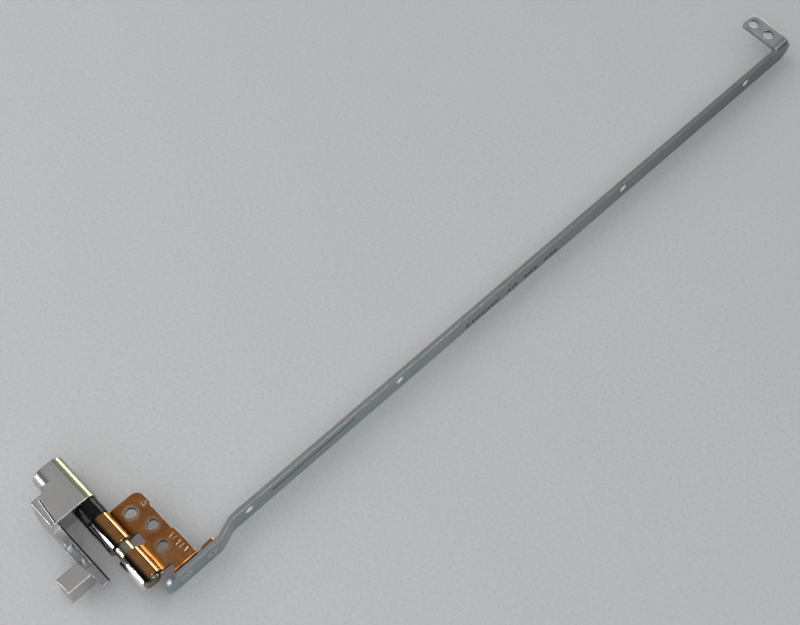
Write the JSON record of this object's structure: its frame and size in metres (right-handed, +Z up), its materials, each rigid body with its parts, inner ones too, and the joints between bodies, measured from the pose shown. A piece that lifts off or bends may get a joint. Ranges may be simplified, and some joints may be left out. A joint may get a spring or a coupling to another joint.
{
  "type": "display friction hinge with side rail",
  "caption": "Friction hinge with a die-cast base, a spring-steel leaf curled round the pin, and a long screw-on side rail that carries a notebook screen.",
  "frame": {"origin": "centre of the footprint on the surface that the opened part lies on", "axes": "+X along the hinge pin towards the rail, +Y along the rail away from the pin, +Z up"},
  "size_m": [0.0368, 0.2258, 0.0098],
  "materials": {
    "nickel_casting": "satin nickel plate on a zinc die casting",
    "ground_steel": "ground hardened steel, lightly oiled",
    "black_collar": "gloss black, oiled",
    "chromated_spring_steel": "glossy yellow-gold chromate over plated spring steel",
    "zinc_plated_steel": "satin blue-white zinc plate",
    "rivet_steel": "bright zinc plate"
  },
  "bodies": {
    "base": {"base_casting": "nickel_casting", "hinge_pin": "ground_steel", "spacer_collar": "black_collar"},
    "screen_side": {"friction_leaf": "chromated_spring_steel", "display_rail": "zinc_plated_steel", "rivets": "rivet_steel"}
  },
  "joints": [
    {"name": "screen_hinge", "type": "hinge", "parent": "base", "child": "screen_side", "pos_m": [0, -0.09875, 0.0067], "axis": [1, 0, 0], "range_deg": [0, 170]}
  ]
}
